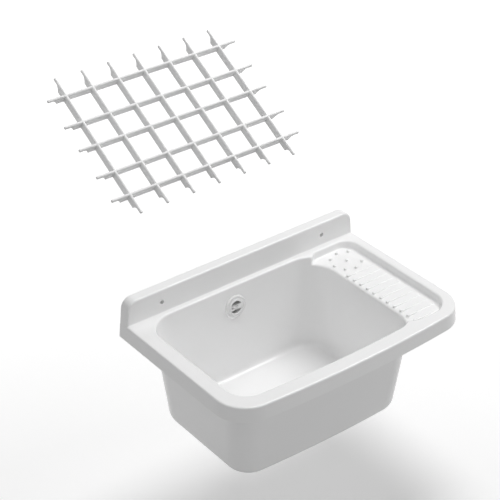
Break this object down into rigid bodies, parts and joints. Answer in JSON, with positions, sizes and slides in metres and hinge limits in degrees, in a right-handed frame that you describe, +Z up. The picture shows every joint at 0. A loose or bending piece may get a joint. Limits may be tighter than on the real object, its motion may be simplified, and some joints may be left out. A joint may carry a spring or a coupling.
{
  "type": "wall-mounted sink",
  "caption": "Wall-mounted moulded resin sink with upstand, bowed front, deep basin, ribbed draining ledge, overflow, plug waste and a lift-out drain grid.",
  "frame": {"origin": "midway between the two wall fixing holes, on the wall plane", "axes": "+X to the right seen from the front, +Y into the wall, +Z up"},
  "size_m": [0.8344, 0.4043, 0.9479],
  "materials": {
    "resin": "smooth satin white moulded resin",
    "grid_plastic": "smooth satin pale moulded plastic",
    "white_trim": "smooth glossy white moulded plastic",
    "steel": "brushed stainless steel",
    "rubber": "matt black rubber",
    "plug_rubber": "matt black rubber",
    "pipe_plastic": "plain white pipe plastic"
  },
  "bodies": {
    "sink": {"sink_body": "resin", "overflow_rosette": "white_trim", "overflow_screw": "white_trim", "overflow_seal": "rubber", "overflow_elbow": "pipe_plastic", "overflow_upper_nut": "pipe_plastic", "overflow_upper_ring": "rubber", "overflow_pipe": "pipe_plastic", "overflow_lower_ring": "rubber", "overflow_lower_nut": "pipe_plastic", "waste_flange": "steel", "waste_top_seal": "rubber", "waste_bottom_seal": "rubber", "waste_body": "pipe_plastic", "waste_screw": "steel"},
    "plug": {"waste_plug": "plug_rubber"},
    "grid": {"drain_grid": "grid_plastic"}
  },
  "joints": [
    {"name": "plug_lift", "type": "slide", "parent": "sink", "child": "plug", "axis": [0, 0, 1], "range_m": [0, 0.03]},
    {"name": "grid_carry", "type": "slide", "parent": "sink", "child": "grid", "axis": [0.5122, 0.1313, -0.8488], "range_m": [0, 0.59]}
  ]
}
